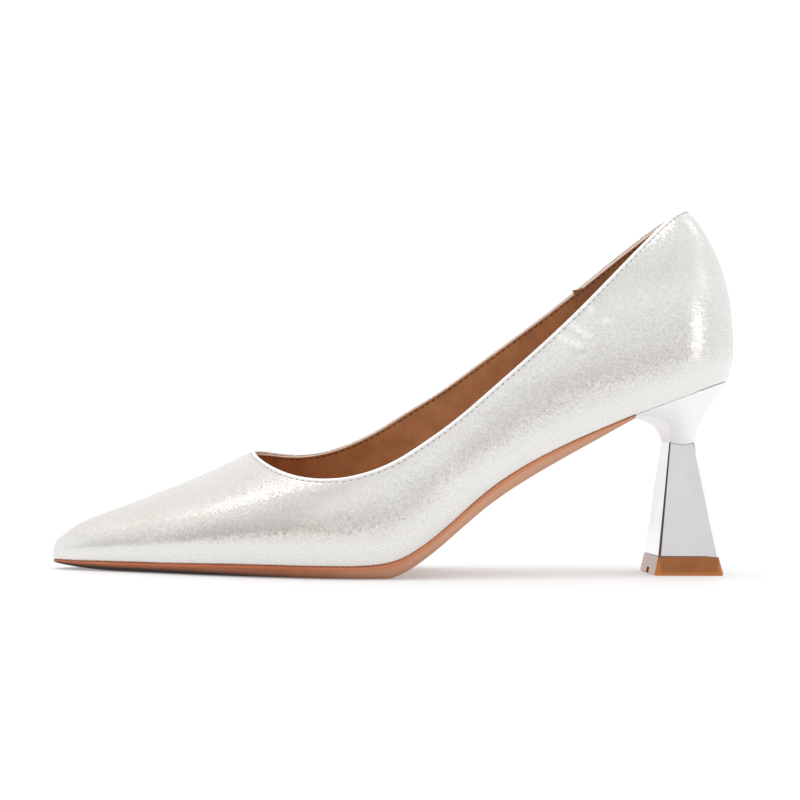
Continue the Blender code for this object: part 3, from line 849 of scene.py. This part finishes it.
def makeSole(materials):
    spec = soleSpec
    end = placeOf(last["breastAlong"] + last["seamGap"], featherSplines[0])
    share = np.linspace(0, 1, spec["stations"] + 1)
    stations = end * (share - spec["toeCrowding"] * np.sin(np.pi * share))
    part = np.linspace(0, 1, spec["across"] + 1)[1:-1, None]
    rings = []
    for place in stations:
        left, right = soleEdgePoints(place), soleEdgePoints(2 - place)
        tread = left[-1] + (right[-1] - left[-1]) * part
        seat = right[0] + (left[0] - right[0]) * part
        rings.append(np.concatenate([left, tread, right[::-1], seat]))
    finish = [step.slot for step in soleEdge]
    ringSlots = finish[:-1] + [2] * spec["across"] + finish[:-1][::-1] + [0] * spec["across"]
    slots = ringSlots * (len(rings) - 1) + [1]
    piece = loftPiece("soleLeather", rings, materials, slots, start=False)
    # painted shade: darker down the edge as it turns under, and a few steps into the tread
    down = np.array([step.down for step in soleEdge])
    shadeEnd, fade = spec["shadeEnd"]
    lower = np.clip((down - spec["lip"]) / (1 - spec["lip"]), 0, 1) * np.minimum(1, (shadeEnd - down) / fade)
    steps = np.arange(1, spec["across"])
    inwards = lower[-1] * 0.5 ** np.minimum(steps, steps[::-1])
    around = np.concatenate([lower, inwards, lower[::-1], np.zeros(spec["across"] - 1)])
    setAttribute(piece, "low", np.tile(around, len(rings)))
    back = (last["length"] - featherSplines[0](stations)) / (last["length"] - last["breastAlong"])
    setAttribute(piece, "back", np.repeat(back, len(around)))
    finishClosed(piece, 50)
    mount(piece, "tan_sole", "outsole")


# the arch colours are a painted sheen along the arch
soleLeathers = {
    "soleLip": leatherLook(
        (0.47, 0.130, 0.050), (0.56, 0.165, 0.067), 0.30, 0.012, 0.0009, 0.00002, arch=(0.62, 0.240, 0.115)
    ),
    "soleBand": leatherLook(
        (0.34, 0.106, 0.043), (0.43, 0.140, 0.059), 0.34, 0.010, 0.0008, 0.00003, arch=(0.64, 0.340, 0.215)
    ),
    "soleTread": leatherLook(
        (0.34, 0.140, 0.072), (0.43, 0.190, 0.104), 0.5, 0.022, 0.0010, 0.00005, arch=(0.40, 0.175, 0.095)
    ),
}
makeSole([plainLeather(name, look) for name, look in soleLeathers.items()])
print("sole ready")

# heel: polished cup under the seat, crease at the neck, four-sided block below
heelBlock = namedtuple("heelBlock", "height front back halfWidth corner")
heelSpec = {
    "crease": heelBlock(0.0460, 0.0252, 0.0164, 0.0072, 0.0005),
    "base": heelBlock(0.0068, 0.0299, 0.0087, 0.0124, 0.0009),
    "creaseDip": 0.0009,
    "creaseHalf": 0.00016,  # half the height of the crease
    "creaseDeep": 0.0002,
    "creaseShade": 0.6,
    # how dark the crease line is painted, as a share of the painted dark reflection
    "rim": 0.0003,
    "sidePoints": 31,
    "endPoints": 21,
    "cornerPoints": 7,
    "rings": 44,
    "cornerSpread": 0.15 / 7,  # how far a corner spreads along the seat, as a share of the side
    "breastBow": (2.8, 2.8),  # curves of the cup, inwards and down: 1 straight, 2 a quarter of an ellipse
    "backBow": (0.77, 1.67),
    "backTurn": 0.3,  # share of each side, at its back, that turns round to the rear face
    "seatPoints": 200,
    "seatGap": 0.00005,  # under the upper
    "streak": 0.1,  # where the painted dark reflection on the back corners ends, as a share of the block's height
    "streakRings": (4, 2, 2, 4),  # rings that the painted dark reflection on each corner runs over
}


def insetBlock(block, inset):
    front, back = block.front - inset, block.back + inset
    return block._replace(front=front, back=back, halfWidth=block.halfWidth - inset)


def blockRing(block):
    spec = heelSpec
    front, back = block.front - block.corner, block.back + block.corner
    left, right = block.halfWidth - block.corner, block.corner - block.halfWidth
    arcs = []
    for quarter, middle in enumerate([(front, left), (back, left), (back, right), (front, right)]):
        turns = np.pi / 2 * (quarter + np.linspace(0, 1, spec["cornerPoints"]))
        rounded = block.corner * np.stack([np.cos(turns), np.sin(turns)], axis=1) + middle
        arcs.append(np.column_stack([rounded, np.full(len(turns), block.height)]))
    ring = []
    for count, here, after in zip((spec["sidePoints"], spec["endPoints"]) * 2, arcs, arcs[1:] + arcs[:1]):
        part = np.linspace(0, 1, count + 2)[1:-1, None]
        ring += [here, here[-1] + (after[0] - here[-1]) * part]
    return np.concatenate(ring)


def seatRing(drop):
    spec = heelSpec
    corner = places[heelCornerSection]
    halfTurn = spec["cornerPoints"] // 2
    nudge = spec["cornerSpread"] * (corner - breast) / halfTurn
    front = breast + nudge * np.arange(halfTurn + 1)
    back = corner + nudge * np.arange(-halfTurn, halfTurn + 1)
    side = np.linspace(front[-1], back[0], spec["sidePoints"] + 2)[1:-1]
    rear = np.linspace(back[-1], 2 - back[-1], spec["endPoints"] + 2)[1:-1]
    half = np.concatenate([front, side, back])
    rim = feather(np.concatenate([half, rear, 2 - half[::-1]])) - (0, 0, spec["seatGap"] + drop)
    part = np.linspace(0, 1, spec["endPoints"] + 2 * halfTurn + 2)[1:-1, None]
    across = rim[-1] + (rim[0] - rim[-1]) * part
    return np.concatenate([across[len(across) - halfTurn:], rim, across[: len(across) - halfTurn]])


def breastShares():  # how far each point of the ring belongs to the breast
    spec = heelSpec
    side = np.linspace(1, 0, spec["sidePoints"])
    corner = np.ones(spec["cornerPoints"])
    rear = np.zeros(2 * spec["cornerPoints"] + spec["endPoints"])
    return np.concatenate([corner, side, rear, side[::-1], corner, np.ones(spec["endPoints"])])


def creaseRing(lower, inset):
    crease = heelSpec["crease"]
    block = insetBlock(crease, inset)
    ring = blockRing(block)
    reach = np.clip((crease.front - ring[:, 0]) / (crease.front - crease.back), 0, 1)
    onSide = abs(ring[:, 1]) > block.halfWidth - block.corner
    ring[:, 2] -= np.where(onSide, heelSpec["creaseDip"] * np.sin(np.pi * reach), 0) + lower
    return ring


def cupRings(finish):  # each point on its own bowed curve, the sides straight from the seat to the crease
    spec = heelSpec
    start, breastShare = seatRing(spec["rim"]), breastShares()
    inwardBow, downBow = (
        back + (front - back) * breastShare for front, back in zip(spec["breastBow"], spec["backBow"])
    )
    ruled = np.minimum(1, breastShare / spec["backTurn"])
    seat = feather(np.linspace(1, breast, spec["seatPoints"])) - (0, 0, spec["seatGap"] + spec["rim"])
    rings = []
    for turn in np.linspace(0, np.pi / 2, spec["rings"] + 1):
        inwards, down = np.sin(turn) ** (2 / inwardBow), 1 - np.cos(turn) ** (2 / downBow)
        ring = start + (finish - start) * np.stack([inwards, down, down], axis=1)
        above = np.interp(ring[:, 0], seat[:, 0], seat[:, 2])
        top = start[:, 2] + (above - start[:, 2]) * ruled
        wide = (ring[:, 2] - finish[:, 2]) / (top - finish[:, 2])
        ring[:, 1] = finish[:, 1] + (start[:, 1] - finish[:, 1]) * wide
        rings.append(ring)
    return rings


chromeLook = {
    "dull": (0.81, 0.80, 0.825),
    "bright": (0.875, 0.87, 0.88),
    "darkReflectionColour": (0.16, 0.11, 0.11, 1),  # painted dark reflection on the corners and along the crease, standing in for the dark end of the room
    "smearSize": 0.012,
    "cloudRange": (0.35, 0.65),
    "smearRange": (0.35, 0.75),
    "smooth": 0.08,
    "smeared": 0.15,
    # the cup is painted paler and more diffuse, so it reads evenly bright instead of showing its reflections
    "cupPaintedBright": (0.91, 0.915, 0.92, 1),
    "cupSoft": 0.42,
    "cupMetal": 0.55,
    "ripple": (0.12, 0.0002),  # strength, depth
}


def polishedChrome():
    look = chromeLook
    material, tree, shader = startMaterial("polishedChrome", {})
    smear = noiseOf(tree, objectPlace(tree), look["smearSize"], 4.0)
    cup, edge = attributeOf(tree, "cup"), attributeOf(tree, "edge")
    clouded = rampNode(tree, smear, list(zip(look["cloudRange"], (look["dull"], look["bright"]))))
    plain = mixColours(tree, cup, clouded, look["cupPaintedBright"])
    rough = rangeNode(tree, smear, *look["smearRange"], look["smooth"], look["smeared"])
    sockets = {
        "Base Color": mixColours(tree, edge, plain, look["darkReflectionColour"]),
        "Metallic": mixNumbers(tree, cup, 1.0, look["cupMetal"]),
        "Roughness": mixNumbers(tree, cup, rough, look["cupSoft"]),
        "Normal": bumpOf(tree, smear, *look["ripple"]),
    }
    feed(tree, shader, sockets)
    return material


def makeHeel():
    spec = heelSpec
    rings = [seatRing(0)] + cupRings(creaseRing(-spec["creaseHalf"], 0.0))
    cupCount = len(rings)
    top, foot = creaseRing(spec["creaseHalf"], 0.0), blockRing(spec["base"])
    rings += [creaseRing(0.0, spec["creaseDeep"]), top, top + (foot - top) * spec["streak"], foot]
    piece = loftPiece("chromeHeel", rings, [polishedChrome()])
    cup, edge = np.zeros((2, *np.shape(rings)[:2]))
    cup[:cupCount] = 1
    corner, side, end = (spec[name] for name in ("cornerPoints", "sidePoints", "endPoints"))
    corners = np.cumsum([0, corner + side, corner + end, corner + side])  # where each corner of a ring starts
    # painted dark reflection: a line along the crease and streaks down the back corners
    for start in corners[::2] + corner:
        edge[cupCount, start: start + side] = spec["creaseShade"]
    for start, reach in zip(corners, spec["streakRings"]):
        edge[cupCount: cupCount + reach, start + 1: start + corner - 1] = 1
    setAttribute(piece, "cup", cup)
    setAttribute(piece, "edge", edge)
    finishClosed(piece, 30)
    mount(piece, "chrome", "heel")


makeHeel()
print("heel ready")

# top piece under the heel, with the notch in the foot of its front face
tipSpec = {
    "top": heelSpec["base"]._replace(height=heelSpec["base"].height - last["seamGap"]),
    "floor": heelBlock(0.0, 0.0314, 0.0069, 0.0129, 0.0009),
    "bevel": 0.0004,
    "notch": (0.0015, 0.0040, 0.0022),  # deep, wide, high
    "levels": (0.08, 0.14, 0.2, 0.28, 0.36, 0.5, 0.65, 0.8, 0.92, 0.97, 1.0),
    "rim": 0.0009,  # width of the rim's painted highlight
    "rimCorner": 0.0012,  # how near to a corner it starts
    "rimFull": 1.6,  # at the very corner, before it is cut off at 1
}


def tipBlend(share, inset=0.0):
    ends = zip(tipSpec["floor"], tipSpec["top"])
    return insetBlock(heelBlock(*(low + (high - low) * share for low, high in ends)), inset)


def makeTip(material):
    spec = tipSpec
    floorBlock, bevel = spec["floor"], spec["bevel"]
    lowest = bevel / spec["top"].height
    rings = [blockRing(tipBlend(lowest, bevel)._replace(height=0.0))]
    rings += [blockRing(tipBlend(max(share, lowest))) for share in spec["levels"]]
    rings = np.array(rings)
    piece = loftPiece("heelTip", rings, [material])
    x, y, z = (rings[..., axis] for axis in range(3))
    toEnd = np.minimum(abs(x - floorBlock.front), abs(x - floorBlock.back))
    toCorner = toEnd + abs(abs(y) - floorBlock.halfWidth)
    # painted highlight near the corners and along the bottom edge
    rim = spec["rimFull"] - np.minimum(toCorner - spec["rimCorner"], z) / spec["rim"]
    setAttribute(piece, "rim", np.clip(rim, 0, 1))
    finishClosed(piece, 30)
    deep, wide, high = spec["notch"]
    bpy.ops.mesh.primitive_cube_add(size=1)
    cutter = bpy.context.object
    cutter.scale = (2 * deep, wide, 2 * high)
    cutter.location = np.array([floorBlock.front, 0, 0]) - shoeOrigin
    cut = piece.modifiers.new("notch", "BOOLEAN")
    cut.object = cutter
    cutMesh = bakedMesh(piece)
    piece.modifiers.clear()
    piece.data = cutMesh
    bpy.data.objects.remove(cutter)
    piece.data.set_sharp_from_angle(angle=math.radians(30))
    mount(piece, "tan_tip", "top_piece")


tipLook = {
    "gloss": {"Roughness": 0.20, "Specular IOR Level": 0.6, "Coat Weight": 0.5, "Coat Roughness": 0.08},
    "middle": [(0.3, (0.29, 0.090, 0.010)), (0.7, (0.36, 0.114, 0.016))],
    # painted highlight along the edges of the top piece
    "rim": (0.56, 0.170, 0.016, 1),
    "cloudSize": 1 / 160,
    "speckSize": 1 / 1800,
    "speck": (0.3, 0.00003),  # strength, depth
}


def tipRubber():
    look = tipLook
    material, tree, shader = startMaterial("tipRubber", look["gloss"])
    where = objectPlace(tree)
    middle = rampNode(tree, noiseOf(tree, where, look["cloudSize"], 4.0), look["middle"])
    specks = noiseOf(tree, where, look["speckSize"], 2.0)
    sockets = {
        "Base Color": mixColours(tree, attributeOf(tree, "rim"), middle, look["rim"]),
        "Normal": bumpOf(tree, specks, *look["speck"]),
    }
    feed(tree, shader, sockets)
    return material


makeTip(tipRubber())
print("heel tip ready")


# stitches: a row of thread loops along a path, made by geometry nodes
def stitchTree():
    tree = bpy.data.node_groups.new("stitchRow", "GeometryNodeTree")
    sizes = dict.fromkeys(("Pitch", "Length", "Width", "Height"), "Float")
    kinds = {"Geometry": "Geometry", **sizes, "Thread": "Material"}
    for name, kind in kinds.items():
        tree.interface.new_socket(name, in_out="INPUT", socket_type="NodeSocket" + kind)
    tree.interface.new_socket("Geometry", in_out="OUTPUT", socket_type="NodeSocketGeometry")
    given = tree.nodes.new("NodeGroupInput").outputs

    def made(kind, inputs=None, **settings):
        return addNode(tree, kind, inputs, **settings).outputs[0]

    line = made("GeometryNodeMeshToCurve", {"Mesh": given["Geometry"]})
    spaced = made("GeometryNodeResampleCurve", {"Curve": line, "Length": given["Pitch"]}, mode="LENGTH")
    ball = made("GeometryNodeMeshUVSphere", {"Segments": 8, "Rings": 6, "Radius": 0.5})
    size = made("ShaderNodeCombineXYZ", {"X": given["Length"], "Y": given["Width"], "Z": given["Height"]})
    loop = made("GeometryNodeTransform", {"Geometry": ball, "Scale": size})
    away = made("GeometryNodeInputNamedAttribute", {"Name": "away"}, data_type="FLOAT_VECTOR")
    tangent = {"Vector": made("GeometryNodeInputTangent")}
    upright = {"Rotation": made("FunctionNodeAlignRotationToVector", tangent, axis="X"), "Vector": away}
    turn = made("FunctionNodeAlignRotationToVector", upright, axis="Z", pivot_axis="X")
    laid = made("GeometryNodeInstanceOnPoints", {"Points": spaced, "Instance": loop, "Rotation": turn})
    real = made("GeometryNodeRealizeInstances", {"Geometry": laid})
    soft = made("GeometryNodeSetShadeSmooth", {"Geometry": real})
    dressed = made("GeometryNodeSetMaterial", {"Geometry": soft, "Material": given["Thread"]})
    addNode(tree, "NodeGroupOutput", {"Geometry": dressed})
    return tree


stitching = stitchTree()


def stitchRow(name, path, away, spec, thread, slot):
    mesh = bpy.data.meshes.new(name + "Path")
    count = len(path)
    mesh.from_pydata((path - shoeOrigin).tolist(), [(here, (here + 1) % count) for here in range(count)], [])
    layer = mesh.attributes.new("away", "FLOAT_VECTOR", "POINT")
    layer.data.foreach_set("vector", np.asarray(away, np.float32).ravel())
    guide = addObject(name + "Path", mesh)
    row = guide.modifiers.new("row", "NODES")
    row.node_group = stitching
    inputs = {item.name: item.identifier for item in stitching.interface.items_tree if item.in_out == "INPUT"}
    for socket, value in spec.items():
        row[inputs[socket]] = value
    row[inputs["Thread"]] = thread
    made = bakedMesh(guide)
    made.name = name
    piece = addObject(name, made)
    bpy.data.objects.remove(guide)
    mount(piece, slot)


def pathBelowEdge(surface, normals, distance):
    path, away = [], []
    for here in range(len(surface)):
        order = toEdge[here]
        path.append([np.interp(distance, order, surface[here, :nearRows, axis]) for axis in range(3)])
        away.append([np.interp(distance, order, normals[here, :nearRows, axis]) for axis in range(3)])
    return np.array(path), unit(np.array(away))


def threadMaterial(name, colour, roughness):
    material, tree, shader = startMaterial(name, {"Roughness": roughness, "Sheen Weight": 0.2})
    twist = noiseOf(tree, objectPlace(tree), stitchSpec["twist"], 2.0)
    dark = tuple(0.8 * part for part in colour)
    feed(tree, shader, {"Base Color": rampNode(tree, twist, [(0.35, dark), (0.65, colour)])})
    return material


stitchSpec = {
    "outer": {"Pitch": 0.0024, "Length": 0.0017, "Width": 0.00042, "Height": 0.00030},
    "holes": {"Pitch": 0.0024, "Length": 0.00090, "Width": 0.00052, "Height": 0.00024},
    "inner": {"Pitch": 0.0024, "Length": 0.0020, "Width": 0.00042, "Height": 0.00030},
    "sunk": 0.00004,
    "innerDrop": 0.0012,
    "twist": 1 / 3500,
    "silver": ((0.78, 0.77, 0.75), 0.5),  # colour, roughness
    # the needle holes' shade, painted on small dark beads between the stitches
    "holeShade": ((0.37, 0.35, 0.32), 0.8),
    "brown": ((0.055, 0.022, 0.010), 0.6),
}


def slidAlong(path, shift):  # slides a closed path along itself
    return path + unit(aroundLoop(path)) * shift


def makeStitches():
    spec = stitchSpec
    silverThread = threadMaterial("silverThread", *spec["silver"])
    needleHoleShade = threadMaterial("needleHoleShade", *spec["holeShade"])
    brownThread = threadMaterial("brownThread", *spec["brown"])
    path, away = pathBelowEdge(face, gridNormals(face), upperSpec["stitchDrop"])
    raised, between = path + away * spec["sunk"], slidAlong(path, spec["outer"]["Pitch"] / 2)
    stitchRow("toplineStitches", raised, away, spec["outer"], silverThread, "silver_leather")
    # painted shade of the needle holes, on small beads
    stitchRow("needleHoleShades", between, away, spec["holes"], needleHoleShade, "silver_leather")
    depth = np.full((len(wall), 1, 1), upperSpec["wall"])
    depth[panelColumns] = panelSpec["front"]
    path, away = pathBelowEdge(wall - wallNormals * depth, -wallNormals, spec["innerDrop"])
    stitchRow("liningStitches", path, away, spec["inner"], brownThread, "brown_lining")


makeStitches()
print("stitches ready")

# camera at the photograph's angle, low and level with the shoe
view = {"place": (0.0492, 0.6500, 0.0482), "target": (-0.0016, 0.0021, 0.0599), "lens": 83.99, "roll": 0.5}
camera = addObject("camera", bpy.data.cameras.new("camera"))
camera.data.lens = view["lens"]
camera.data.sensor_width = 36.0
camera.data.clip_start = 0.01
camera.location = view["place"]
level = (Vector(view["target"]) - Vector(view["place"])).to_track_quat("-Z", "Y")
camera.rotation_euler = (level @ Quaternion((0, 0, 1), math.radians(view["roll"]))).to_euler()
bpy.context.scene.camera = camera

# floor
bpy.ops.mesh.primitive_plane_add(size=60)
floor = bpy.context.object
floor.name = "floor"
floorPaint = {
    "Base Color": (0.62, 0.62, 0.62, 1),
    "Roughness": 0.6,
    "Specular IOR Level": 0.2,
    "Emission Color": (1, 1, 1, 1),  # a lit table, so shadows stay pale
    "Emission Strength": 0.3,
}
floor.data.materials.append(startMaterial("floorPaint", floorPaint)[0])

# studio: white all round, greyer towards the front, with soft boxes as bright patches
studio = {
    "white": 0.99,
    "front": 0.49,  # brightness in front, low down
    "level": 0.80,
    "above": 1.03,
    "sky": 0.77,
    "aheadReach": (0.0, 0.9),  # how far a direction points to the front
    "levelRise": (0.06, 0.18),  # heights between which the front changes
    "aboveRise": (0.27, 0.40),
    "skyRise": (0.54, 0.72),
    "tintFall": (0.10, 0.20),
    "tint": (1.0, 0.942, 0.865, 1),
    "backdrop": 1.1,
    "softEdge": (1.3, 0.7),  # where a soft box starts and ends its fade, as shares of its width
}
plainWhite = (1, 1, 1, 1)
softBox = namedtuple("softBox", "turn lift wide power")  # degrees from the front, towards the toe, and up
softBoxes = [softBox(*row) for row in (
    (60, 84, 18, 2.2),
    (80, 51, 8, 1.0),
    (-50, 11, 9, 1.2),
    (-112, 44, 8, 0.6),
    (-72, 30, 8, 0.25),
    (52, 14, 18, -0.30),
    (36, 37, 13, -0.16),
    (30, 1, 12, -0.06),
)]
bpy.context.scene.view_settings.view_transform = "Standard"


def makeWorld():
    world = bpy.data.worlds.new("studio")
    bpy.context.scene.world = world
    world.use_nodes = True
    tree = world.node_tree
    way = addNode(tree, "ShaderNodeTexCoord").outputs["Generated"]
    axes = addNode(tree, "ShaderNodeSeparateXYZ", {"Vector": way}).outputs
    ahead = rangeNode(tree, axes["Y"], *studio["aheadReach"], 0.0, 1.0)
    front = rangeNode(tree, axes["Z"], *studio["levelRise"], studio["front"], studio["level"])
    higher = rangeNode(tree, axes["Z"], *studio["aboveRise"], 0.0, studio["above"] - studio["level"])
    highest = rangeNode(tree, axes["Z"], *studio["skyRise"], 0.0, studio["sky"] - studio["above"])
    height = mathOf(tree, "ADD", mathOf(tree, "ADD", front, higher), highest)
    change = mathOf(tree, "MULTIPLY", mathOf(tree, "ADD", height, -studio["white"]), ahead)
    strength = mathOf(tree, "ADD", change, studio["white"])
    warmth = mathOf(tree, "MULTIPLY", rangeNode(tree, axes["Z"], *studio["tintFall"], 1.0, 0.0), ahead)
    tint = mixColours(tree, warmth, plainWhite, studio["tint"])
    for box in softBoxes:
        turn, lift = math.radians(box.turn), math.radians(box.lift)
        axis = (math.sin(turn) * math.cos(lift), math.cos(turn) * math.cos(lift), math.sin(lift))
        near = vectorOf(tree, "DOT_PRODUCT", way, axis)["Value"]
        fade = [math.cos(math.radians(part * box.wide)) for part in studio["softEdge"]]
        glow = rangeNode(tree, near, *fade, 0.0, box.power, interpolation_type="SMOOTHSTEP")
        strength = mathOf(tree, "ADD", strength, glow)
    seen = addNode(tree, "ShaderNodeLightPath").outputs["Is Camera Ray"]
    sky = {
        "Strength": mixNumbers(tree, seen, strength, studio["backdrop"]),
        "Color": mixColours(tree, seen, tint, plainWhite),
    }
    feed(tree, tree.nodes["Background"], sky)


makeWorld()
print("studio ready")
